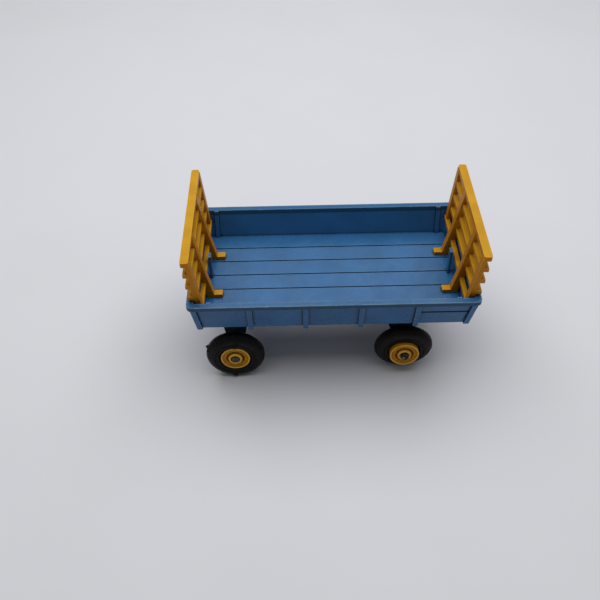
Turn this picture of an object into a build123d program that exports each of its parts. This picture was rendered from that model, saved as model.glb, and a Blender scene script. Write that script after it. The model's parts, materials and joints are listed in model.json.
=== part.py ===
from build123d import *
from math import atan, cos, radians, tan
import os

# Toy hay trailer: a die-cast bed on four wheels, its front axle on a bogie
# that turns on a rivet, and an open plastic rack standing in each end.
# Millimetres. +X is the front, +Y the left side, +Z up.
# The origin is on the ground under the middle of the bed.

# Bed, a shallow tub whose sides and ends flare outwards
rail_top = 24.8
bed_length = 62.0
bed_width = 33.8
rail_width = 1.35
rail_height = 1.05
rail_corner = 1.2
end_overhang = 1.1
side_overhang = 0.6
bed_depth = 8.6
bed_inset_ends = 1.8
bed_inset_sides = 2.6
wall_foot = 1.0
floor_below_rail = 6.5
floor_thickness = 1.3
skirt_thickness = 1.1
tub_corner = 0.6

# Stakes on the outside of the tub, and the gaps between its planks
stake_width = 1.15
side_stake_depth = 0.5
end_stake_depth = 0.3
stake_reach = 0.5
corner_stake_reach = 0.1
side_panels = 5
end_panels = 3
plank_gap = 0.3
plank_gap_depth = 0.25
floor_planks = 6
side_plank_drop = 3.9

# Inside the tub, near each end: a rib on each side wall, and a tab in the middle
rib_inset = 4.65
rib_width = 0.9
rib_depth = 0.4
tab_inset = 3.95
tab_width = 1.6
tab_thickness = 0.6
tab_drop = 0.2

# Axles: distance from the bed's end, and how far the pins stand proud of the hubs
rear_axle_inset = 9.1
front_axle_inset = 14.7
rear_axle_proud = 0.0
front_axle_proud = 0.55
axle_radius = 0.6
axle_clearance = 0.06
head_radius = 0.97
head_thickness = 0.45
head_gap = 0.08

# Wheels
tyre_radius = 6.6
tyre_width = 3.3
tyre_wall_radius = 5.1
# Columns: distance in from the outer side wall, drop from the crown
tyre_shoulder = ((0.45, 0.6), (1.05, 0.0))
tyre_inner_bevel = 1.0
tyre_inner_drop = 1.2
tyre_fit = 0.25
hub_inset = 1.7
hub_length = 5.95
hub_width = 3.5
hub_radius = 3.3
groove_radius = 2.15
groove_depth = 0.5
hub_boss = 1.6
hub_boss_proud = 0.2
hub_sleeve = 1.5
head_recess = 0.45
head_room = 0.12
running_gap = 0.25
slipped_tyre_inset = 1.2
slipped_tyre_tilt = 7.0

# Brackets that carry the axles
cheek_thickness = 2.4
bracket_foot = 2.0
rear_bracket_top = 5.4
rear_bracket_waist = 5.1
front_bracket_top = 8.4
front_bracket_waist = 6.3
waist_height = 10.0
web_thickness = 1.4
web_foot = 8.6

# Front bogie, its pivot and its drawbar
turntable_radius = 5.6
turntable_top = 15.7
turntable_thickness = 1.6
turntable_gap = 0.1
pivot_boss = 3.2
rivet_radius = 1.0
rivet_clearance = 0.08
rivet_head = 1.9
rivet_head_thickness = 0.6
rivet_grip = 0.9
drawbar_length = 29.0
drawbar_height = 9.4
drawbar_thickness = 1.8
drawbar_neck = 2.4
eye_radius = 2.3
eye_hole = 1.2
drawbar_edge = 0.55
drawbar_pocket = 0.45

# Racks, one in each end of the bed, reaching out over the rail
rack_overhang = 0.4
outer_lean = 3.0
inner_lean = 5.0
rack_half_top = 15.85
rack_half_low = 14.6
rack_rail_width = 1.75
rack_rail_height = 1.15
rack_rail_corner = 0.5
slat_count = 4
slat_pitch = 3.4
slat_height = 0.95
slat_over_rail = 0.45
lowest_bar_width = 1.0
rack_clearance = 0.12
rear_rack_play = 0.4
post_width = 1.6
post_tip = 0.05
post_back = 1.05
end_post_depth = 0.9
inner_post = 6.3
knee_drop = 10.6
knee_depth = 1.7
leg_reach = 1.8
leg_depth = 1.5
foot_length = 1.85
foot_thickness = 0.8

# Worked-out levels, places and slopes
bed_bottom = rail_top - bed_depth
rail_underside = rail_top - rail_height
bed_floor = rail_top - floor_below_rail
floor_underside = bed_floor - floor_thickness
axle_height = tyre_radius
rear_axle_x = rear_axle_inset - bed_length / 2
front_axle_x = bed_length / 2 - front_axle_inset
wall_rise = rail_underside - bed_bottom
hub_face = bed_width / 2 - hub_inset
bracket_outer = hub_face - hub_length - running_gap
# Columns: half size over the rail, inset at the bottom, outward slope
end_sizes = (bed_length / 2, bed_inset_ends, (bed_inset_ends - end_overhang) / wall_rise)
side_sizes = (bed_width / 2, bed_inset_sides, (bed_inset_sides - side_overhang) / wall_rise)


def outer_half(level, half, inset, slope):
    """Half size of the tub's outside at a level, one way across."""
    return half - inset + slope * (level - bed_bottom)


def inner_half(level, half, inset, slope):
    """Half size of the tub's inside, from the floor's corner to the rail's edge."""
    foot = outer_half(bed_floor, half, inset, slope) - wall_foot
    share = (level - bed_floor) / floor_below_rail
    return foot + share * (half - rail_width - foot)


def wall_plane(level, out_x, out_y, half, inset, slope):
    """Plane on the tub's outer face, with its middle at a level and its Y axis up the wall."""
    reach = outer_half(level, half, inset, slope)
    return Plane((out_x * reach, out_y * reach, level),
                 x_dir=(-out_y, out_x, 0), z_dir=(out_x, out_y, -slope))


def axle_cheeks(x, top, top_length, waist_length):
    """Two cheeks below a casting, with the hole that an axle is pressed through."""
    for face in (bracket_outer, cheek_thickness - bracket_outer):
        with BuildSketch(Plane.XZ.offset(-face)) as cheek:
            with Locations((x, axle_height)):
                Circle(bracket_foot)
            with BuildLine():
                Polyline(
                    (x - bracket_foot, axle_height),
                    (x - waist_length / 2, waist_height),
                    (x - top_length / 2, top),
                    (x + top_length / 2, top),
                    (x + waist_length / 2, waist_height),
                    (x + bracket_foot, axle_height),
                    close=True,
                )
            make_face()
        extrude(cheek.sketch, amount=cheek_thickness)


def axle_hole(x):
    """The hole across both cheeks."""
    with Locations(Plane((x, 0, axle_height), z_dir=(0, 1, 0))):
        Hole(axle_radius)


def keep(part, name):
    """Names a finished piece and writes its file."""
    part.label = name
    export_step(part, "parts/" + name + ".step")


os.makedirs("parts", exist_ok=True)

# Bed: tub, rail, stakes, floor planks, ribs, tabs, rear axle bracket and pivot boss
stake_low = bed_bottom - stake_reach
stake_top = rail_underside + rail_height / 4
corner_stake_low = bed_bottom - corner_stake_reach
side_pitch = (bed_length - 2 * rail_corner) / side_panels
end_pitch = (bed_width - 2 * rail_corner) / end_panels
boss_underside = turntable_top + turntable_gap
with BuildPart() as bed:
    for level in (bed_bottom, rail_underside):
        with BuildSketch(Plane.XY.offset(level)):
            RectangleRounded(2 * outer_half(level, *end_sizes),
                             2 * outer_half(level, *side_sizes), tub_corner)
    loft()
    with BuildSketch(Plane.XY.offset(rail_underside)):
        RectangleRounded(bed_length, bed_width, rail_corner)
    extrude(amount=rail_height)

    # Stakes with bevelled lower ends, slanted with the wall and past its bottom edge.
    # Columns: the way out along X and Y, sizes of that wall, panels, pitch, depth
    for out_x, out_y, sizes, panels, pitch, depth in (
        (0, 1, side_sizes, side_panels, side_pitch, side_stake_depth),
        (0, -1, side_sizes, side_panels, side_pitch, side_stake_depth),
        (1, 0, end_sizes, end_panels, end_pitch, end_stake_depth),
        (-1, 0, end_sizes, end_panels, end_pitch, end_stake_depth),
    ):
        run = (stake_top - stake_low) / cos(atan(sizes[-1])) - stake_width / 2
        inside_wall = wall_plane(stake_low, out_x, out_y, *sizes).offset(-wall_foot / 2)
        with BuildSketch(inside_wall):
            with GridLocations(pitch, 1, panels - 1, 1):
                with Locations((0, stake_width / 2)):
                    RegularPolygon(stake_width / 2, 8, major_radius=False, rotation=22.5)
                    Rectangle(stake_width, run, align=(Align.CENTER, Align.MIN))
        extrude(amount=wall_foot / 2 + depth)

    # Corner stakes, which slope both ways
    for end in (-1, 1):
        for side in (-1, 1):
            for level in (corner_stake_low, rail_underside):
                x = outer_half(level, *end_sizes) + end_stake_depth - stake_width / 2
                y = outer_half(level, *side_sizes) + side_stake_depth - stake_width / 2
                with BuildSketch(Plane.XY.offset(level)):
                    with Locations((end * x, side * y)):
                        Rectangle(stake_width, stake_width)
            loft()

    # Load space
    for level in (bed_floor, rail_top):
        with BuildSketch(Plane.XY.offset(level)):
            RectangleRounded(2 * inner_half(level, *end_sizes),
                             2 * inner_half(level, *side_sizes), tub_corner)
    loft(mode=Mode.SUBTRACT)

    # Underside, hollow below the floor
    with BuildSketch(Plane.XY.offset(stake_low)):
        RectangleRounded(bed_length - 2 * (bed_inset_ends + skirt_thickness),
                         bed_width - 2 * (bed_inset_sides + skirt_thickness), tub_corner)
    extrude(amount=floor_underside - stake_low, mode=Mode.SUBTRACT)

    # Gaps between the planks of the floor
    floor_half = inner_half(bed_floor, *side_sizes)
    with BuildSketch(Plane.XY.offset(bed_floor - plank_gap_depth)):
        with GridLocations(1, 2 * floor_half / floor_planks, 1, floor_planks - 1):
            Rectangle(2 * inner_half(bed_floor, *end_sizes), plank_gap)
    extrude(amount=plank_gap_depth, mode=Mode.SUBTRACT)

    # The front panel of each side is split into two planks
    split_level = rail_top - side_plank_drop
    split_front = outer_half(split_level, *end_sizes) - stake_width / 2
    split_rear = (side_panels / 2 - 1) * side_pitch + stake_width / 2
    with BuildSketch(Plane.XY.offset(split_level - plank_gap / 2)):
        with Locations(((split_front + split_rear) / 2, 0)):
            with GridLocations(1, 2 * outer_half(split_level, *side_sizes), 1, 2):
                Rectangle(split_front - split_rear, 2 * plank_gap_depth)
    extrude(amount=plank_gap, mode=Mode.SUBTRACT)

    # Ribs up the inside of both side walls
    low = inner_half(bed_floor, *side_sizes)
    high = inner_half(rail_top, *side_sizes)
    for end in (-1, 1):
        with BuildSketch(Plane.YZ.offset(end * (bed_length / 2 - rib_inset))):
            with BuildLine():
                Polyline(
                    (low - rib_depth, bed_floor),
                    (high - rib_depth, rail_top),
                    (high + rib_depth, rail_top),
                    (low + rib_depth, bed_floor),
                    close=True,
                )
            make_face()
            mirror(about=Plane.YZ)
        extrude(amount=rib_width / 2, both=True)

    # Tabs that stand up from the floor and keep the racks against the ends
    with BuildSketch(Plane.XY.offset(bed_floor - plank_gap_depth)):
        with GridLocations(bed_length - 2 * tab_inset, 1, 2, 1):
            Rectangle(tab_thickness, tab_width)
    extrude(amount=plank_gap_depth + floor_below_rail - tab_drop)

    # Pivot boss, and the hole that the rivet is set in
    with BuildSketch(Plane.XY.offset(boss_underside)):
        with Locations((front_axle_x, 0)):
            Circle(pivot_boss)
    extrude(amount=floor_underside - boss_underside)
    with Locations((front_axle_x, 0, boss_underside)):
        Hole(rivet_radius, depth=rivet_grip)

    # Rear axle bracket, with a web between its cheeks
    axle_cheeks(rear_axle_x, floor_underside, rear_bracket_top, rear_bracket_waist)
    with BuildSketch(Plane.XY.offset(web_foot)):
        with Locations((rear_axle_x, 0)):
            Rectangle(web_thickness, 2 * bracket_outer - cheek_thickness)
    extrude(amount=floor_underside - web_foot)
    axle_hole(rear_axle_x)
keep(bed.part, "bed")

# Front bogie: turntable and axle cheeks
turntable_underside = turntable_top - turntable_thickness
with BuildPart() as front_bogie:
    with BuildSketch(Plane.XY.offset(turntable_underside)):
        with Locations((front_axle_x, 0)):
            Circle(turntable_radius)
            Rectangle(front_bracket_top, 2 * bracket_outer)
    extrude(amount=turntable_thickness)
    axle_cheeks(front_axle_x, turntable_underside, front_bracket_top, front_bracket_waist)
    with Locations((front_axle_x, 0, turntable_top)):
        Hole(rivet_radius + rivet_clearance, depth=turntable_thickness)
    axle_hole(front_axle_x)
keep(front_bogie.part, "front_bogie")

# Drawbar between the bogie's cheeks, turned back under the bed, with raised edges
drawbar_half = bracket_outer - cheek_thickness
drawbar_low = drawbar_height - drawbar_thickness / 2
eye_x = front_axle_x - drawbar_length
drawbar_outline = [
    (front_axle_x + bracket_foot, drawbar_half),
    (front_axle_x - bracket_foot, drawbar_half),
    (eye_x, drawbar_neck / 2),
    (eye_x, -drawbar_neck / 2),
    (front_axle_x - bracket_foot, -drawbar_half),
    (front_axle_x + bracket_foot, -drawbar_half),
]
with BuildPart() as drawbar:
    with BuildSketch(Plane.XY.offset(drawbar_low)):
        with BuildLine():
            Polyline(*drawbar_outline, close=True)
        make_face()
        with Locations((eye_x, 0)):
            Circle(eye_radius)
            Circle(eye_hole, mode=Mode.SUBTRACT)
    extrude(amount=drawbar_thickness)
    for pocket_floor in (drawbar_low, drawbar_low + drawbar_thickness - drawbar_pocket):
        with BuildSketch(Plane.XY.offset(pocket_floor)):
            with BuildLine():
                Polyline(*drawbar_outline, close=True)
            make_face()
            offset(amount=-drawbar_edge)
            with Locations((eye_x, 0)):
                Circle(eye_radius, mode=Mode.SUBTRACT)
        extrude(amount=drawbar_pocket, mode=Mode.SUBTRACT)
keep(drawbar.part, "drawbar")

# Pivot rivet: shank up into the bed's boss, flat head below the turntable
head_face = turntable_underside - turntable_gap
head_low = head_face - rivet_head_thickness
with BuildPart() as pivot_rivet:
    with BuildSketch(Plane.XZ):
        with BuildLine():
            Polyline(
                (front_axle_x, head_low),
                (front_axle_x, boss_underside + rivet_grip),
                (front_axle_x + rivet_radius, boss_underside + rivet_grip),
                (front_axle_x + rivet_radius, head_face),
                (front_axle_x + rivet_head, head_face),
                (front_axle_x + rivet_head, head_low),
                close=True,
            )
        make_face()
    revolve(axis=Axis((front_axle_x, 0, 0), (0, 0, 1)))
keep(pivot_rivet.part, "pivot_rivet")

# Axles, straight pins with both ends spun over into flat heads
for name, x, proud in (
    ("rear_axle", rear_axle_x, rear_axle_proud),
    ("front_axle", front_axle_x, front_axle_proud),
):
    head_inner = hub_face + hub_boss_proud - head_recess + head_gap + proud
    head_outer = head_inner + head_thickness
    with BuildPart() as axle:
        with BuildSketch(Plane.YZ.offset(x)):
            with BuildLine():
                Polyline(
                    (0, axle_height),
                    (0, axle_height + axle_radius),
                    (head_inner, axle_height + axle_radius),
                    (head_inner, axle_height + head_radius),
                    (head_outer, axle_height + head_radius),
                    (head_outer, axle_height),
                    close=True,
                )
            make_face()
            mirror(about=Plane.YZ)
        revolve(axis=Axis((x, 0, axle_height), (0, 1, 0)))
    keep(axle.part, name)

# Wheels. Columns: corner, place along, side, how far the tyre has slipped
# inwards on its hub, and how far it leans
for corner, x, side, inset, tilt in (
    ("front_left", front_axle_x, 1, 0.0, 0.0),
    ("front_right", front_axle_x, -1, slipped_tyre_inset, slipped_tyre_tilt),
    ("rear_left", rear_axle_x, 1, 0.0, 0.0),
    ("rear_right", rear_axle_x, -1, 0.0, 0.0),
):
    # Profiles are drawn inwards from the hub's face, with the radius upwards
    face = Plane((x, side * hub_face, axle_height), x_dir=(0, -side, 0), z_dir=(-side, 0, 0))
    bore = axle_radius + axle_clearance
    recess_floor = head_recess - hub_boss_proud
    with BuildPart() as hub:
        with BuildSketch(face):
            with BuildLine():
                Polyline(
                    (recess_floor, bore),
                    (recess_floor, head_radius + head_room),
                    (-hub_boss_proud, head_radius + head_room),
                    (-hub_boss_proud, hub_boss),
                    (groove_depth, (hub_boss + groove_radius) / 2),
                    (0, groove_radius),
                    (0, hub_radius),
                    (hub_width, hub_radius),
                    (hub_width, hub_sleeve),
                    (hub_length, hub_sleeve),
                    (hub_length, bore),
                    close=True,
                )
            make_face()
        revolve(axis=Axis((x, 0, axle_height), (0, 1, 0)))
    keep(hub.part, "hub_" + corner)

    spin = Vector(0, side, 0).rotate(Axis.X, tilt)
    centre = Vector(x, side * (hub_face - inset), axle_height)
    tyre_bore = hub_radius + tyre_fit
    outer_shoulder = [(deep, tyre_radius - drop) for deep, drop in tyre_shoulder]
    with BuildPart() as tyre:
        with BuildSketch(Plane(centre, x_dir=-spin, z_dir=(-side, 0, 0))):
            with BuildLine():
                Polyline(
                    (0, tyre_bore),
                    (0, tyre_wall_radius),
                    *outer_shoulder,
                    (tyre_width - tyre_inner_bevel, tyre_radius),
                    (tyre_width, tyre_radius - tyre_inner_drop),
                    (tyre_width, tyre_bore),
                    close=True,
                )
            make_face()
        revolve(axis=Axis(centre, spin))
    keep(tyre.part, "tyre_" + corner)

# Racks: one moulding each, level bars on the outside and four posts inside them
rack_top = rail_top + slat_over_rail + slat_height + slat_pitch * (slat_count - 1)
rack_outer = bed_length / 2 + rack_overhang
slat_tops = [rack_top - slat_pitch * (number + 1) for number in range(slat_count)]
lowest_underside = slat_tops[-1] - slat_height
post_top = rack_top - rack_rail_height / 2
rail_seat = inner_half(rail_top, *end_sizes) - rack_clearance
wall_seat = inner_half(lowest_underside, *end_sizes) - rack_clearance
foot_seat = inner_half(bed_floor, *end_sizes) - rack_clearance


def rack_face(level):
    """How far out the bars' outer faces are at a level."""
    return rack_outer - tan(radians(outer_lean)) * (rack_top - level)


def rack_inside(level):
    """How far out the bars' inner faces are at a level."""
    return rack_outer - rack_rail_width - tan(radians(inner_lean)) * (rack_top - level)


# The posts' back edge, from inside the tub up over the rail and behind the bars
over_rail = slat_tops[-2] - slat_height
post_tip_point = (rack_inside(rack_top) - post_tip, post_top)
post_back_edge = [
    (wall_seat, lowest_underside),
    (rail_seat, rail_top),
    (rack_face(over_rail) - post_back, over_rail),
    (rack_face(post_top) - post_back, post_top),
]

# End posts, before their outer sides are cut with the ends of the bars
with BuildPart() as end_posts:
    with BuildSketch(Plane.XZ):
        with BuildLine():
            Polyline(
                post_tip_point,
                (wall_seat - end_post_depth, lowest_underside),
                *post_back_edge,
                close=True,
            )
        make_face()
    extrude(amount=rack_half_top, both=True)
    with BuildSketch(Plane.YZ):
        with BuildLine():
            Polyline(
                (rack_half_top - post_width, rack_top),
                (rack_half_low - post_width, lowest_underside),
                (post_width - rack_half_low, lowest_underside),
                (post_width - rack_half_top, rack_top),
                close=True,
            )
        make_face()
    extrude(amount=rack_outer, mode=Mode.SUBTRACT)

leg_toe = foot_seat - leg_reach
with BuildPart() as rack_front:
    # Columns: top, outer face and inner face of each level bar below the top rail
    slats = [(top, rack_face(top), rack_inside(top)) for top in slat_tops[:-1]]
    slats += [(slat_tops[-1], wall_seat, wall_seat - lowest_bar_width)]
    for top, outer, inner in slats:
        with BuildSketch(Plane.XY.offset(top - slat_height)):
            with Locations(((outer + inner) / 2, 0)):
                Rectangle(outer - inner, 2 * rack_half_top)
        extrude(amount=slat_height)
    add(end_posts.part)

    # Both ends draw in towards the bottom, flush across slats and end posts
    with BuildSketch(Plane.YZ):
        with BuildLine():
            Polyline(
                (rack_half_top, rack_top),
                (rack_half_low, lowest_underside),
                (-rack_half_low, lowest_underside),
                (-rack_half_top, rack_top),
                close=True,
            )
        make_face()
    extrude(amount=rack_outer, mode=Mode.INTERSECT)

    # Top rail with rounded corners
    with BuildSketch(Plane.XY.offset(rack_top - rack_rail_height)):
        with Locations((rack_outer - rack_rail_width / 2, 0)):
            RectangleRounded(rack_rail_width, 2 * rack_half_top, rack_rail_corner)
    extrude(amount=rack_rail_height)

    # Inner posts, bent inwards at the knee, each with a foot on the floor
    for side in (-1, 1):
        with BuildSketch(Plane.XZ.offset(side * inner_post)):
            with BuildLine():
                Polyline(
                    post_tip_point,
                    (post_tip_point[0] - knee_depth, rack_top - knee_drop),
                    (leg_toe, bed_floor + foot_thickness),
                    (leg_toe - foot_length, bed_floor + foot_thickness),
                    (leg_toe - foot_length, bed_floor),
                    (leg_toe + leg_depth, bed_floor),
                    *post_back_edge,
                    close=True,
                )
            make_face()
        extrude(amount=post_width / 2, both=True)
keep(rack_front.part, "rack_front")

# The rear rack is turned round, and stands a little away from the bed's end, within its play
with BuildPart() as rack_rear:
    with Locations(Location((rear_rack_play, 0, 0), (0, 0, 180))):
        add(rack_front.part)
keep(rack_rear.part, "rack_rear")
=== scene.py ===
import json
import math

import bmesh
import bpy
from mathutils import Matrix, Vector


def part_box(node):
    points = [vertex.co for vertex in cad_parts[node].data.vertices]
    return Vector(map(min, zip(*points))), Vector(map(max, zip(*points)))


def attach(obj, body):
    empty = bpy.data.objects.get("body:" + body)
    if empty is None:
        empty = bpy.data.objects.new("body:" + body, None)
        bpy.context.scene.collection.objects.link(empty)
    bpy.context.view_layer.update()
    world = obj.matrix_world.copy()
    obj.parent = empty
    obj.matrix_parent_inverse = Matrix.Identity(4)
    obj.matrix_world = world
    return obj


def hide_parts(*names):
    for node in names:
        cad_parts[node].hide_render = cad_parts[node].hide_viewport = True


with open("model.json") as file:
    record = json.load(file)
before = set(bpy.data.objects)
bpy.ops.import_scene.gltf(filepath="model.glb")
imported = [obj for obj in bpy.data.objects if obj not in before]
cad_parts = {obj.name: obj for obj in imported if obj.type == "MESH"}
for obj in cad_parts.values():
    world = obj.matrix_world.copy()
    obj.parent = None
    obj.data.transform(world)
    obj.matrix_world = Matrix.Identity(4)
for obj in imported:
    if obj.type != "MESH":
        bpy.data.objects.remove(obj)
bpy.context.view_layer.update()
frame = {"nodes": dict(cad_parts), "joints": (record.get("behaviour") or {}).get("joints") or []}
joints = {joint["name"]: joint for joint in frame["joints"]}
corners = ("front_left", "front_right", "rear_left", "rear_right")

# Looks of a small die-cast hay trailer: blue enamel over zinc, satin yellow
# plastic racks and hubs, soft black tyres and spun steel axle ends.
# Sizes are in millimetres: times MM, they become the scene's metres.
# Colours are in linear light, and shares run from 0 to 1.
MM = 0.001

# The camera, solved from the rail, racks and wheels in the photograph
CAMERA_PLACE = Vector((-8.26, -129.92, 139.69)) * MM
CAMERA_DOWN = math.radians(45.0)
CAMERA_TURN = math.radians(-0.562)
CAMERA_ROLL = math.radians(0.841)
CAMERA_NEAR = 1 * MM
FOCAL_PIXELS = 775.47
PHOTO_PIXELS = 600
SENSOR_MM = 36.0

# Soft light from above and behind, and a dim sky that fills the shadows
LAMP_PLACE = Vector((0.0, 79.0, 330.0)) * MM
LAMP_SIDE = 460 * MM
LAMP_WATTS = 1.55
SKY_COLOUR = (1, 1, 1, 1)
SKY_STRENGTH = 0.18

# Plain pale floor
FLOOR_SIDE = 4000 * MM
FLOOR_COLOUR = (0.663, 0.668, 0.705, 1)
FLOOR_BLOT = 30.0
FLOOR_DARKEST = 0.985
FLOOR_ROUGHNESS = 0.9
FLOOR_GLOSS = 0.1

# Masks: the noise's usual range, and for outer edges, hollows and upright faces the value
# where the mask starts and the one where it is full
NOISE_RANGE = (0.3, 0.7)
NOISE_DETAIL = 3.0
AO_SAMPLES = 8
EDGE_RANGE = (0.95, 0.45)
HOLLOW_RANGE = (0.9, 0.35)
UPRIGHT_RANGE = (0.7, 0.3)

# The colour sockets of a mix node, whose names repeat
MIX_SHARE, MIX_UNDER, MIX_OVER = 0, 6, 7
MIX_RESULT = 2

# Blue enamel: its colour and gloss, and the blots of its tone, roughness and uneven skin
BLUE = (0.024, 0.115, 0.275, 1)
ENAMEL_GLOSS = 0.25
ENAMEL_BLOT = 8.0
ENAMEL_SPREAD = 0.10
ENAMEL_ROUGH_BLOT = 1.6
ENAMEL_ROUGHNESS = (0.26, 0.40)
ENAMEL_SKIN_BLOT = 0.9
ENAMEL_SKIN_DEPTH = 0.010

# The bed's rail is darkened by painted shade and a little handling wear: its levels, and the
# share on flat and upright faces
RAIL_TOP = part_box("bed")[1].z / MM
RAIL_HEIGHT = 1.05
RAIL_UNDERSIDE = RAIL_TOP - RAIL_HEIGHT
RAIL_FADE = 0.1
BLUE_RAIL_SHADE = (0.008, 0.045, 0.09, 1)
RAIL_SHADE_SHARES = (0.25, 0.8)

# Painted shade below the bed and in its seams and corners, where shade falls
BED_UNDERSIDE = 16.2
UNDER_SHADE_FADE = 1.0
UNDER_SHADE_SHARE = 0.8
SHADE_BLUE = (0.006, 0.017, 0.042, 1)
SEAM_SHADE_REACH = 0.9
SEAM_SHADE_RANGE = (0.95, 0.5)
SEAM_SHADE_SHARE = 0.9

# Wear along outer edges, weaker below the rail's top edge, and chips down to the zinc
BLUE_WORN = (0.13, 0.25, 0.36, 1)
WORN_REACH = 0.38
WORN_BLOT = 3.5
WORN_RANGE = (0.3, 0.6)
WORN_SHARES = (0.45, 1.0)
TOP_EDGE = (RAIL_TOP - 0.35, RAIL_TOP - 0.15)
TOP_EDGE_SHARES = (0.25, 1.0)
ZINC = (0.35, 0.35, 0.36, 1)
CHIP_REACH = 0.2
CHIP_BLOT = 1.1
CHIP_RANGE = (0.62, 0.68)

# Painted shade in and below the groove between two planks, outside on the front panel of each
# side, where the groove's shadow falls: its level and height, where it starts and stops along the
# bed, and how far out it begins
GAP_SHADE_BLUE = (0.001, 0.005, 0.025, 1)
GAP_LEVEL = 20.75
GAP_HEIGHT = 0.54
GAP_HEIGHT_FADE = 0.04
GAP_START = 18.6
GAP_STOP = 28.8
GAP_OUT = 14.9
GAP_FADE = 0.05

# Yellow plastic: what racks and hubs share
PLASTIC_GLOSS = 0.10
PLASTIC_BLOT = 5.0
# Painted shade: upright faces take a deeper orange, as where less light falls
UPRIGHT_SHADE_SHARE = 0.8
# Blots in the painted shade of corners and gaps
CORNER_SHADE_BLOT = 1.5
CORNER_SHADE_SHARES = (0.6, 1.0)
# Pale outer edges: rubbing wear, and a painted highlight that is strongest on the hub rims
YELLOW_RUB_AND_HIGHLIGHT = (0.68, 0.42, 0.06, 1)
RUB_HIGHLIGHT_REACH = 0.25
RUB_HIGHLIGHT_BLOT = 2.0
RUB_HIGHLIGHT_RANGE = (0.4, 0.65)
RUB_HIGHLIGHT_LEAST = 0.3
PLASTIC_ROUGH_BLOT = 0.8
PLASTIC_ROUGH_SPREAD = (-0.06, 0.08)
PLASTIC_SKIN_BLOT = 0.5
PLASTIC_SKIN_DEPTH = 0.012
SCRATCH_LENGTH = 2.0
SCRATCH_WIDTH = 0.2
SCRATCH_DETAIL = 2.0
SCRATCH_RANGE = (0.66, 0.70)
SCRATCH_DEPTH = -0.006
GLOW_SHARE = 0.12
GLOW_REACH = (0.9 * MM, 0.45 * MM, 0.15 * MM)

# Yellow plastic: what differs. Dark and pale tones, the colour of painted shade on upright faces,
# the colour of painted shade in corners with its reach, and how strongly edges get pale wear and
# a painted highlight
RACK_ROUGHNESS = 0.42
HUB_ROUGHNESS = 0.36
RACK_LOOK = {
    "dark": (0.49, 0.24, 0.007, 1),
    "pale": (0.56, 0.295, 0.012, 1),
    # The third colour is painted shade on upright faces, the fourth painted shade in corners, and
    # the last share sets the pale edge wear and painted highlight
    "deep": (0.52, 0.19, 0.005, 1),
    "hollow_shade": (0.32, 0.105, 0.003, 1),
    "hollow_shade_reach": 3.0,
    "rub_highlight": 0.4,
}
HUB_LOOK = {
    "dark": (0.43, 0.185, 0.005, 1),
    "pale": (0.51, 0.25, 0.010, 1),
    "deep": (0.45, 0.18, 0.005, 1),
    "hollow_shade": (0.16, 0.05, 0.002, 1),
    "hollow_shade_reach": 0.8,
    "rub_highlight": 0.9,
}

# The hubs' faces stand this far out, and what reaches that far gets a pale painted highlight on
# the rim
HUB_FACE = abs(joints["spin_front_left"]["pos_m"][1]) / MM
HUB_RIM_HIGHLIGHT = (0.74, 0.45, 0.08, 1)
HUB_RIM_HIGHLIGHT_RANGE = (HUB_FACE - 0.15, HUB_FACE - 0.03)
HUB_RIM_HIGHLIGHT_SHARE = 0.75

# Tyre compound
TYRE_GLOSS = 0.13
TYRE_BLACK = (0.004, 0.004, 0.0045, 1)
TYRE_DUST = (0.014, 0.0135, 0.013, 1)
DUST_BLOT = 1.8
DUST_DETAIL = 6.0
DUST_RANGE = (0.45, 0.75)
DUST_SHARE = 0.4
SCUFF_REACH = 0.15
SCUFF_SHARE = 0.35
TYRE_ROUGH_BLOT = 1.2
TYRE_ROUGHNESS = (0.34, 0.52)
TYRE_SKIN_BLOT = 0.3
TYRE_SKIN_DETAIL = 5.0
TYRE_SKIN_DEPTH = 0.012

# Steel, with the least and the most share of tarnish where it is dull and where it is bare
STEEL = (0.24, 0.24, 0.225, 1)
TARNISH = (0.030, 0.022, 0.015, 1)
TARNISH_BLOT = 0.9
TARNISH_RANGE = (0.35, 0.6)
TARNISH_REACH = 0.3
DULL_SHARES = (0.6, 1.0)
BARE_SHARES = (0.0, 1.0)
STEEL_ROUGH_BLOT = 0.3
STEEL_ROUGHNESS = (0.35, 0.55)
STEEL_SKIN_BLOT = 0.2
STEEL_SKIN_DEPTH = 0.012

# Rounding of the CAD nodes' edges
CAST_ROUNDING = 0.12
RACK_ROUNDING = 0.14
ROUNDING_STEPS = 2
ROUNDED_ANGLE = math.radians(28)
WELD_REACH = 0.002
FLAT_ANGLE = math.radians(0.5)

# Turned pieces: what is closer than this is one corner, and what bends more stays sharp
SAME_CORNER = 0.0005
SHARP_ANGLE = math.radians(40)

# The near front tyre has slipped inwards on its hub and leans
SLIPPED = "front_right"
SLIP_INSET = 1.2
SLIP_TILT = math.radians(7)

# Radius of the rib inside a tyre's bore, which grips the hub
BORE_RIB = 3.28

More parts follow.
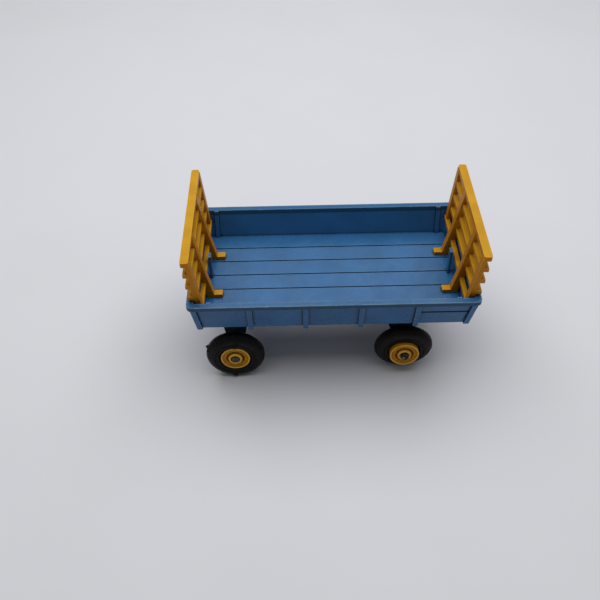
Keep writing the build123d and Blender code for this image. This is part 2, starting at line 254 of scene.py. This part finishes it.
# Tyre section. Columns: depth in from the outer face, radius, depth of the notches
# between the tread blocks
TYRE_ROWS = (
    (0.25, 3.56, 0), (0.02, 3.70, 0), (0.0, 3.85, 0), (0.0, 4.15, 0), (0.03, 4.27, 0),
    (0.16, 4.36, 0), (0.17, 4.46, 0), (0.05, 4.62, 0), (0.02, 4.85, 0), (0.05, 5.15, 0),
    (0.14, 5.45, 0), (0.26, 5.72, 0), (0.40, 5.93, 0), (0.43, 5.97, 0.08), (0.62, 6.17, 0.13),
    (0.85, 6.36, 0.13), (1.08, 6.50, 0.13), (1.12, 6.42, 0), (1.22, 6.44, 0), (1.26, 6.56, 0),
    (1.56, 6.59, 0), (1.60, 6.50, 0), (1.70, 6.50, 0), (1.74, 6.59, 0), (2.04, 6.56, 0),
    (2.08, 6.44, 0), (2.18, 6.42, 0), (2.22, 6.50, 0.13), (2.45, 6.36, 0.13), (2.68, 6.17, 0.13),
    (2.87, 5.97, 0.08), (2.90, 5.93, 0), (3.04, 5.72, 0), (3.16, 5.45, 0), (3.25, 5.15, 0),
    (3.29, 4.85, 0), (3.30, 4.30, 0), (3.28, 3.75, 0), (3.05, 3.56, 0), (2.35, 3.50, 0),
    (2.15, BORE_RIB, 0), (1.35, BORE_RIB, 0), (1.15, 3.50, 0),
)
TREAD_BLOCKS = 56
COLUMNS_PER_BLOCK = 4

# Nibs that the mould left on a tyre. Columns: wheel, angle from the front over the top,
# depth in from the outer face, radius, size, how far the nib rises
TYRE_MARKS = (
    ("rear_right", math.radians(160), 1.90, 6.50, 0.36, 0.45),
    ("rear_right", math.radians(165), 0.90, 6.40, 0.30, 0.25),
    ("rear_right", math.radians(267), 0.20, 5.80, 0.60, 0.35),
    ("rear_right", math.radians(91), 0.0, 4.0, 0.45, 0.55),
    ("rear_right", math.radians(84), 0.0, 4.5, 0.40, 0.35),
)

# A nib rises sideways where it is less deep than this, and outwards past this radius
NIB_DEPTH = 1.0
NIB_RADIUS = 4.9

# Hub section. Columns: depth in from the face, radius
HUB_ROWS = (
    (0.25, 0.66), (0.25, 1.09), (-0.2, 1.09), (-0.2, 1.52), (0.7, 1.66), (0.7, 1.98), (0.18, 2.1),
    (0.32, 2.8), (0.0, 2.98), (0.0, 3.3), (3.5, 3.3), (3.5, 1.5), (5.95, 1.5), (5.95, 0.66),
)
HUB_COLUMNS = 128

# Rounding of a hub's corners: its size, the points on its arc, and the most of a side it takes
HUB_ROUNDING = 0.09
CORNER_STEPS = (0.0, 0.25, 0.5, 0.75, 1.0)
LONGEST_ROUNDING = 0.45

# Head of an axle. Columns: depth in from its end, radius
HEAD_ROWS = (
    (0.0, 0.0), (0.0, 0.1), (0.0, 0.2), (0.0, 0.3), (0.0, 0.4), (0.0, 0.5), (0.01, 0.6),
    (0.04, 0.7), (0.09, 0.8), (0.16, 0.89), (0.26, 0.95), (0.36, 0.97), (0.45, 0.97),
    (0.45, 0.6),
)
HEAD_COLUMNS = 64

# The dimple in a head, off its middle, and how deep the rows are that it can bend
DIMPLE_PLACE = (0.2, 0.1)
DIMPLE_SIZE = 0.28
DIMPLE_DEPTH = 0.3
FACE_DEPTH = 0.3


def add_camera():
    """The photograph's viewpoint."""
    out = Vector((
        -math.sin(CAMERA_TURN) * math.cos(CAMERA_DOWN),
        math.cos(CAMERA_TURN) * math.cos(CAMERA_DOWN),
        -math.sin(CAMERA_DOWN),
    ))
    level = Vector((math.cos(CAMERA_TURN), math.sin(CAMERA_TURN), 0))
    down = out.cross(level)
    right = math.cos(CAMERA_ROLL) * level + math.sin(CAMERA_ROLL) * down
    down = math.cos(CAMERA_ROLL) * down - math.sin(CAMERA_ROLL) * level
    turned = Matrix((right, -down, -out)).transposed().to_4x4()
    data = bpy.data.cameras.new("camera")
    data.sensor_fit = "HORIZONTAL"
    data.sensor_width = SENSOR_MM
    data.lens = FOCAL_PIXELS / PHOTO_PIXELS * SENSOR_MM
    data.clip_start = CAMERA_NEAR
    camera = bpy.data.objects.new("camera", data)
    camera.matrix_world = Matrix.Translation(CAMERA_PLACE) @ turned
    bpy.context.scene.collection.objects.link(camera)
    bpy.context.scene.camera = camera


def add_lamp():
    """One large soft lamp."""
    data = bpy.data.lights.new("lamp", "AREA")
    data.shape = "SQUARE"
    data.size = LAMP_SIDE
    data.energy = LAMP_WATTS
    lamp = bpy.data.objects.new("lamp", data)
    lamp.location = LAMP_PLACE
    lamp.rotation_euler = (-LAMP_PLACE).to_track_quat("-Z", "Y").to_euler()
    bpy.context.scene.collection.objects.link(lamp)


def add_sky():
    """A dim even sky."""
    world = bpy.data.worlds.new("sky")
    bpy.context.scene.world = world
    world.use_nodes = True
    fill(world.node_tree, world.node_tree.nodes["Background"],
         Color=SKY_COLOUR, Strength=SKY_STRENGTH)


def give(tree, socket, value):
    """Links an input to another node's output, or sets it to a value."""
    if isinstance(value, bpy.types.NodeSocket):
        tree.links.new(value, socket)
    else:
        socket.default_value = value


def fill(tree, node, **inputs):
    """Gives a node its inputs, by their names."""
    for name, value in inputs.items():
        give(tree, node.inputs[name.replace("_", " ")], value)


def put(tree, kind, settings=(), **inputs):
    """A new shader node with its settings and inputs."""
    made = tree.nodes.new(kind)
    for name, value in dict(settings).items():
        setattr(made, name, value)
    fill(tree, made, **inputs)
    return made


def new_material(name):
    """A material with its tree, its main shader and the place in millimetres."""
    material = bpy.data.materials.new(name)
    material.use_nodes = True
    tree = material.node_tree
    place = put(tree, "ShaderNodeTexCoord").outputs["Object"]
    place = put(tree, "ShaderNodeVectorMath", {"operation": "SCALE"},
                Vector=place, Scale=1 / MM).outputs["Vector"]
    return material, tree, tree.nodes["Principled BSDF"], place


def vector(tree, operation, *values):
    """Result of a vector operation."""
    made = put(tree, "ShaderNodeVectorMath", {"operation": operation})
    for socket, value in zip(made.inputs, values):
        give(tree, socket, value)
    return made.outputs["Vector"]


def split(tree, value):
    """The three parts of a vector."""
    return put(tree, "ShaderNodeSeparateXYZ", Vector=value).outputs


def times(tree, first, second):
    """Product of two values."""
    made = put(tree, "ShaderNodeMath", {"operation": "MULTIPLY"})
    give(tree, made.inputs[0], first)
    give(tree, made.inputs[1], second)
    return made.outputs["Value"]


def blend(tree, share, under, over):
    """Mixes two colours."""
    made = put(tree, "ShaderNodeMix", {"data_type": "RGBA"})
    give(tree, made.inputs[MIX_SHARE], share)
    give(tree, made.inputs[MIX_UNDER], under)
    give(tree, made.inputs[MIX_OVER], over)
    return made.outputs[MIX_RESULT]


def tinted(colour, share):
    """A colour made darker or brighter."""
    return tuple(share * part for part in colour[:3]) + (1,)


def fade(tree, value, low, high, least=0.0, most=1.0):
    """Maps a value from low..high to least..most, smoothly and clamped."""
    return put(tree, "ShaderNodeMapRange", {"interpolation_type": "SMOOTHSTEP"}, Value=value,
               From_Min=low, From_Max=high, To_Min=least, To_Max=most).outputs["Result"]


def noise(tree, place, size, detail=NOISE_DETAIL):
    """Smooth noise whose blots are about this many millimetres across."""
    return put(tree, "ShaderNodeTexNoise", Vector=place, Scale=1 / size, Detail=detail).outputs[0]


def blots(tree, place, size, least=0.0, most=1.0, within=NOISE_RANGE, detail=NOISE_DETAIL):
    """A value that wanders from blot to blot, from least to most."""
    return fade(tree, noise(tree, place, size, detail), *within, least, most)


def outer_edges(tree, reach):
    """A mask of outer edges, from how thin the material is below the surface."""
    made = put(tree, "ShaderNodeAmbientOcclusion", {"inside": True, "samples": AO_SAMPLES},
               Distance=reach * MM)
    return fade(tree, made.outputs["AO"], *EDGE_RANGE)


def hollows(tree, reach, within=HOLLOW_RANGE):
    """A mask of inner corners and gaps."""
    made = put(tree, "ShaderNodeAmbientOcclusion", {"samples": AO_SAMPLES}, Distance=reach * MM)
    return fade(tree, made.outputs["AO"], *within)


def upright(tree):
    """A mask of faces that stand upright."""
    normal = put(tree, "ShaderNodeTexCoord").outputs["Normal"]
    return fade(tree, split(tree, normal)["Z"], *UPRIGHT_RANGE)


def bump(tree, height, depth):
    """Raises the surface by a height, at this many millimetres for a height of 1."""
    return put(tree, "ShaderNodeBump", Height=height, Distance=depth * MM)


def groove_shade(tree, place):
    """A mask of painted shade in and below the groove on the front panel of each side."""
    middle = ((GAP_START + GAP_STOP) / 2, 0, GAP_LEVEL)
    x, y, z = split(tree, vector(tree, "ABSOLUTE", vector(tree, "SUBTRACT", place, middle)))
    half_length = (GAP_STOP - GAP_START) / 2
    half_height = GAP_HEIGHT / 2
    along = fade(tree, x, half_length + GAP_FADE, half_length - GAP_FADE)
    across = fade(tree, z, half_height + GAP_HEIGHT_FADE, half_height - GAP_HEIGHT_FADE)
    outside = fade(tree, y, GAP_OUT - GAP_FADE, GAP_OUT + GAP_FADE)
    return times(tree, times(tree, along, across), outside)


def scratches(tree, place):
    """Thin scratches that run lengthwise."""
    squeezed = vector(tree, "MULTIPLY", place,
                      (1 / SCRATCH_LENGTH, 1 / SCRATCH_WIDTH, 1 / SCRATCH_WIDTH))
    return blots(tree, squeezed, 1, within=SCRATCH_RANGE, detail=SCRATCH_DETAIL)


def shaded_blue(tree, place, height):
    """Blue paint, darkened by painted shade and a little handling wear on the rail, and by
    painted shade below the bed and in its seams.
    """
    colour = blend(tree, blots(tree, place, ENAMEL_BLOT),
                   tinted(BLUE, 1 - ENAMEL_SPREAD), tinted(BLUE, 1 + ENAMEL_SPREAD))
    # Painted shade, with a little handling wear, darkens the rail, most on its upright outer face
    on_rail = fade(tree, height, RAIL_UNDERSIDE - RAIL_FADE, RAIL_UNDERSIDE + RAIL_FADE)
    rail_shade = times(tree, on_rail, fade(tree, upright(tree), 0.0, 1.0, *RAIL_SHADE_SHARES))
    colour = blend(tree, rail_shade, colour, BLUE_RAIL_SHADE)
    # Painted shade below the bed
    below = fade(tree, height, BED_UNDERSIDE, BED_UNDERSIDE - UNDER_SHADE_FADE, 0.0, UNDER_SHADE_SHARE)
    colour = blend(tree, below, colour, SHADE_BLUE)
    # Painted shade in seams and corners
    seams = times(tree, hollows(tree, SEAM_SHADE_REACH, SEAM_SHADE_RANGE), SEAM_SHADE_SHARE)
    return blend(tree, seams, colour, SHADE_BLUE)


def worn_blue(tree, place, height, colour):
    """The same paint, worn pale along outer edges and chipped down to the zinc."""
    top_edge = fade(tree, height, *TOP_EDGE, *TOP_EDGE_SHARES)
    worn = times(tree, outer_edges(tree, WORN_REACH),
                 blots(tree, place, WORN_BLOT, *WORN_SHARES, within=WORN_RANGE))
    colour = blend(tree, times(tree, worn, top_edge), colour, BLUE_WORN)
    chips = times(tree, outer_edges(tree, CHIP_REACH),
                  blots(tree, place, CHIP_BLOT, within=CHIP_RANGE))
    return blend(tree, times(tree, chips, top_edge), colour, ZINC)


def enamel(name):
    """Thick blue enamel with a slightly uneven skin."""
    material, tree, shader, place = new_material(name)
    height = split(tree, place)["Z"]
    colour = worn_blue(tree, place, height, shaded_blue(tree, place, height))
    skin = bump(tree, noise(tree, place, ENAMEL_SKIN_BLOT), ENAMEL_SKIN_DEPTH)
    fill(tree, shader,
         # The groove's painted shade goes over the paint
         Base_Color=blend(tree, groove_shade(tree, place), colour, GAP_SHADE_BLUE),
         Specular_IOR_Level=ENAMEL_GLOSS,
         Roughness=blots(tree, place, ENAMEL_ROUGH_BLOT, *ENAMEL_ROUGHNESS),
         Normal=skin.outputs["Normal"])
    return material


def plastic_colour(tree, place, look):
    """Yellow, with painted shade on upright faces and in corners, and pale edge wear with a
    painted highlight on outer edges.
    """
    colour = blend(tree, blots(tree, place, PLASTIC_BLOT), look["dark"], look["pale"])
    # Painted shade on upright faces
    colour = blend(tree, times(tree, upright(tree), UPRIGHT_SHADE_SHARE), colour, look["deep"])
    # Painted shade in corners and between bars
    corner_shade = times(tree, hollows(tree, look["hollow_shade_reach"]),
                 blots(tree, place, CORNER_SHADE_BLOT, *CORNER_SHADE_SHARES))
    colour = blend(tree, corner_shade, colour, look["hollow_shade"])
    # Pale outer edges: rubbing wear with a painted highlight
    rub_and_highlight = times(tree, outer_edges(tree, RUB_HIGHLIGHT_REACH),
                   blots(tree, place, RUB_HIGHLIGHT_BLOT, RUB_HIGHLIGHT_LEAST * look["rub_highlight"], look["rub_highlight"],
                         within=RUB_HIGHLIGHT_RANGE))
    return blend(tree, rub_and_highlight, colour, YELLOW_RUB_AND_HIGHLIGHT)


def rack_colour(tree, place):
    """Yellow of the racks."""
    return plastic_colour(tree, place, RACK_LOOK)


def hub_colour(tree, place):
    """Yellow of the hubs, with a pale painted highlight on the rings at the rim."""
    aside = split(tree, vector(tree, "ABSOLUTE", place))["Y"]
    # Painted highlight on the hubs' rims
    outermost = fade(tree, aside, *HUB_RIM_HIGHLIGHT_RANGE, 0.0, HUB_RIM_HIGHLIGHT_SHARE)
    return blend(tree, outermost, plastic_colour(tree, place, HUB_LOOK), HUB_RIM_HIGHLIGHT)


def plastic(name, colour_of, roughness):
    """Satin moulded plastic with a slightly uneven, scratched skin."""
    material, tree, shader, place = new_material(name)
    least, most = (roughness + spread for spread in PLASTIC_ROUGH_SPREAD)
    skin = bump(tree, noise(tree, place, PLASTIC_SKIN_BLOT), PLASTIC_SKIN_DEPTH)
    scratched = bump(tree, scratches(tree, place), SCRATCH_DEPTH)
    fill(tree, scratched, Normal=skin.outputs["Normal"])
    fill(tree, shader,
         Base_Color=colour_of(tree, place),
         Specular_IOR_Level=PLASTIC_GLOSS,
         Subsurface_Weight=GLOW_SHARE,
         Subsurface_Radius=GLOW_REACH,
         Subsurface_Scale=1.0,
         Roughness=blots(tree, place, PLASTIC_ROUGH_BLOT, least, most),
         Normal=scratched.outputs["Normal"])
    return material


def rubber(name):
    """Soft black tyre compound, a little dusty and scuffed."""
    material, tree, shader, place = new_material(name)
    dust = blots(tree, place, DUST_BLOT, 0.0, DUST_SHARE, within=DUST_RANGE, detail=DUST_DETAIL)
    colour = blend(tree, dust, TYRE_BLACK, TYRE_DUST)
    scuffed = times(tree, outer_edges(tree, SCUFF_REACH), SCUFF_SHARE)
    skin = bump(tree, noise(tree, place, TYRE_SKIN_BLOT, TYRE_SKIN_DETAIL), TYRE_SKIN_DEPTH)
    fill(tree, shader,
         Base_Color=blend(tree, scuffed, colour, TYRE_DUST),
         Specular_IOR_Level=TYRE_GLOSS,
         Roughness=blots(tree, place, TYRE_ROUGH_BLOT, *TYRE_ROUGHNESS),
         Normal=skin.outputs["Normal"])
    return material


def steel(name, tarnish_shares):
    """Spun steel, tarnished in blots and in its hollows."""
    material, tree, shader, place = new_material(name)
    tarnish = blots(tree, place, TARNISH_BLOT, *tarnish_shares, within=TARNISH_RANGE)
    colour = blend(tree, tarnish, STEEL, TARNISH)
    skin = bump(tree, noise(tree, place, STEEL_SKIN_BLOT), STEEL_SKIN_DEPTH)
    fill(tree, shader,
         Base_Color=blend(tree, hollows(tree, TARNISH_REACH), colour, TARNISH),
         Metallic=1.0,
         Roughness=blots(tree, place, STEEL_ROUGH_BLOT, *STEEL_ROUGHNESS),
         Normal=skin.outputs["Normal"])
    return material


def floor_paint(name):
    """Matt pale grey with a faint change of tone."""
    material, tree, shader, place = new_material(name)
    fill(tree, shader,
         Base_Color=blend(tree, blots(tree, place, FLOOR_BLOT),
                          tinted(FLOOR_COLOUR, FLOOR_DARKEST), FLOOR_COLOUR),
         Roughness=FLOOR_ROUGHNESS,
         Specular_IOR_Level=FLOOR_GLOSS)
    return material


def add_floor():
    """Plain pale floor."""
    mesh = bpy.data.meshes.new("floor")
    half = FLOOR_SIDE / 2
    mesh.from_pydata([(-half, -half, 0), (half, -half, 0), (half, half, 0), (-half, half, 0)],
                     [], [(0, 1, 2, 3)])
    floor = bpy.data.objects.new("floor", mesh)
    bpy.context.scene.collection.objects.link(floor)
    mesh.materials.append(floor_paint("floor_paint"))


def dress(material, *names):
    """Gives CAD nodes their material."""
    for name in names:
        data = frame["nodes"][name].data
        data.materials.clear()
        data.materials.append(material)


def soften(width, *names):
    """Rounds the edges of CAD nodes."""
    for name in names:
        node = frame["nodes"][name]
        weld = node.modifiers.new("weld", "WELD")
        weld.merge_threshold = WELD_REACH * MM
        flat = node.modifiers.new("flat", "DECIMATE")
        flat.decimate_type = "DISSOLVE"
        flat.angle_limit = FLAT_ANGLE
        bevel = node.modifiers.new("bevel", "BEVEL")
        bevel.width = width * MM
        bevel.segments = ROUNDING_STEPS
        bevel.limit_method = "ANGLE"
        bevel.angle_limit = ROUNDED_ANGLE
        bevel.use_clamp_overlap = True
        bevel.harden_normals = True


def rounded(section, radius):
    """A closed section with its corners rounded."""
    section = [Vector(corner) for corner in section]
    rows = []
    for index, corner in enumerate(section):
        start, stop = (
            corner + side.normalized() * min(radius, side.length * LONGEST_ROUNDING)
            for side in (section[index - 1] - corner,
                         section[(index + 1) % len(section)] - corner)
        )
        for share in CORNER_STEPS:
            rows.append(start.lerp(corner, share).lerp(corner.lerp(stop, share), share))
    return rows


def add_rings(mesh, rows, columns, face, inward, reshape):
    """The corners of a turned mesh, in one ring for each row of its section."""
    front = Vector((1, 0, 0))
    up = (Vector((0, 0, 1)) - inward * inward.z).normalized()
    rings = []
    for row in rows:
        ring = []
        for column in range(columns):
            angle = 2 * math.pi * column / columns
            deep, radius = reshape(row, column, angle) if reshape else row
            spoke = front * math.cos(angle) + up * math.sin(angle)
            ring.append(mesh.verts.new(face + (inward * deep + spoke * radius) * MM))
        rings.append(ring)
    return rings


def add_smooth(name, mesh):
    """A new object from a mesh, smooth but for its sharp edges."""
    for polygon in mesh.faces:
        polygon.smooth = True
    data = bpy.data.meshes.new(name)
    mesh.to_mesh(data)
    mesh.free()
    data.set_sharp_from_angle(angle=SHARP_ANGLE)
    made = bpy.data.objects.new(name, data)
    bpy.context.scene.collection.objects.link(made)
    return made


def turn(name, rows, columns, face, inward, reshape=None, closed=True):
    """A turned piece. Rows give the depth inwards from the face and the radius, and reshape
    may alter both at an angle, which runs from the front over the top."""
    mesh = bmesh.new()
    rings = add_rings(mesh, rows, columns, face, inward, reshape)
    pairs = list(zip(rings, rings[1:])) + ([(rings[-1], rings[0])] if closed else [])
    for ring, following in pairs:
        for column in range(columns):
            beside = (column + 1) % columns
            mesh.faces.new((ring[column], ring[beside], following[beside], following[column]))
    bmesh.ops.remove_doubles(mesh, verts=mesh.verts, dist=SAME_CORNER * MM)
    bmesh.ops.recalc_face_normals(mesh, faces=mesh.faces)
    return add_smooth(name, mesh)


def finish_piece(piece, material, body, node):
    """Dresses a detailed piece, which stands for a solid and moves with its body."""
    piece.data.materials.append(material)
    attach(piece, body)
    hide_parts(node)


def wheel_face(corner):
    """Middle of a wheel's outer face, and the direction inwards from it."""
    face = Vector(joints["spin_" + corner]["pos_m"])
    return face, Vector((0, -math.copysign(1, face.y), 0))


def with_nibs(deep, radius, angle, marks):
    """A point of a tyre's skin, raised where it is on a nib."""
    for turned, mark_deep, mark_radius, size, height in marks:
        aside = mark_radius * math.remainder(angle - turned, 2 * math.pi)
        away = math.sqrt(aside**2 + (deep - mark_deep)**2 + (radius - mark_radius)**2)
        swell = height * math.exp(-((away / size)**4))
        rise = Vector((-max(0.0, NIB_DEPTH - deep), max(0.0, radius - NIB_RADIUS))).normalized()
        deep += rise.x * swell
        radius += rise.y * swell
    return deep, radius


def add_tyre(corner, material):
    """A tyre with a raised bead, tread blocks, nibs and a rib that grips the hub."""
    face, inward = wheel_face(corner)
    lean = 0.0
    if corner == SLIPPED:
        face += inward * SLIP_INSET * MM
        lean = math.sin(SLIP_TILT)
        inward = Vector((0, inward.y * math.cos(SLIP_TILT), lean))
    marks = [mark[1:] for mark in TYRE_MARKS if mark[0] == corner]

    def reshape(row, column, angle):
        deep, radius, notch = row
        if radius == BORE_RIB:
            return deep, radius - deep * lean * math.sin(angle)
        if column % COLUMNS_PER_BLOCK == 0:
            radius -= notch
        return with_nibs(deep, radius, angle, marks)

    piece = turn("tyre_" + corner + "_detail", TYRE_ROWS, TREAD_BLOCKS * COLUMNS_PER_BLOCK,
                 face, inward, reshape)
    finish_piece(piece, material, "wheel_" + corner, "tyre_" + corner)


def add_hub(corner, material):
    """A hub with rounded edges, a raised rim and a grooved face."""
    piece = turn("hub_" + corner + "_detail", rounded(HUB_ROWS, HUB_ROUNDING), HUB_COLUMNS,
                 *wheel_face(corner))
    finish_piece(piece, material, "wheel_" + corner, "hub_" + corner)


def add_axle(name, material, body):
    """An axle whose ends are spun over, with a dimple in each."""
    low, high = (Vector(corner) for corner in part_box(name))
    end = Vector(((low.x + high.x) / 2, low.y, (low.z + high.z) / 2))
    length = (high.y - low.y) / MM
    rows = list(HEAD_ROWS) + [(length - deep, radius) for deep, radius in reversed(HEAD_ROWS)]

    def reshape(row, column, angle):
        deep, radius = row
        away = math.hypot(radius * math.cos(angle) - DIMPLE_PLACE[0],
                          radius * math.sin(angle) - DIMPLE_PLACE[1])
        dent = DIMPLE_DEPTH * math.exp(-((away / DIMPLE_SIZE)**2))
        if deep < FACE_DEPTH:
            deep += dent
        elif deep > length - FACE_DEPTH:
            deep -= dent
        return deep, radius

    piece = turn(name + "_detail", rows, HEAD_COLUMNS, end, Vector((0, 1, 0)), reshape,
                 closed=False)
    finish_piece(piece, material, body, name)


add_camera()
add_lamp()
add_sky()
add_floor()
dress(enamel("bed_enamel"), "bed", "front_bogie", "drawbar")
dress(plastic("rack_plastic", rack_colour, RACK_ROUGHNESS), "rack_front", "rack_rear")
hub_plastic = plastic("hub_plastic", hub_colour, HUB_ROUGHNESS)
tyre_black = rubber("tyre_black")
steel_dull = steel("steel_dull", DULL_SHARES)
dress(steel_dull, "pivot_rivet")
for corner in corners:
    add_tyre(corner, tyre_black)
    add_hub(corner, hub_plastic)
add_axle("front_axle", steel("steel_bare", BARE_SHARES), "bogie")
add_axle("rear_axle", steel_dull, "trailer")
soften(CAST_ROUNDING, "bed", "front_bogie", "drawbar")
soften(RACK_ROUNDING, "rack_front", "rack_rear")
soften(CAST_ROUNDING, "pivot_rivet")

scene = bpy.context.scene
scene.view_settings.view_transform = "Standard"
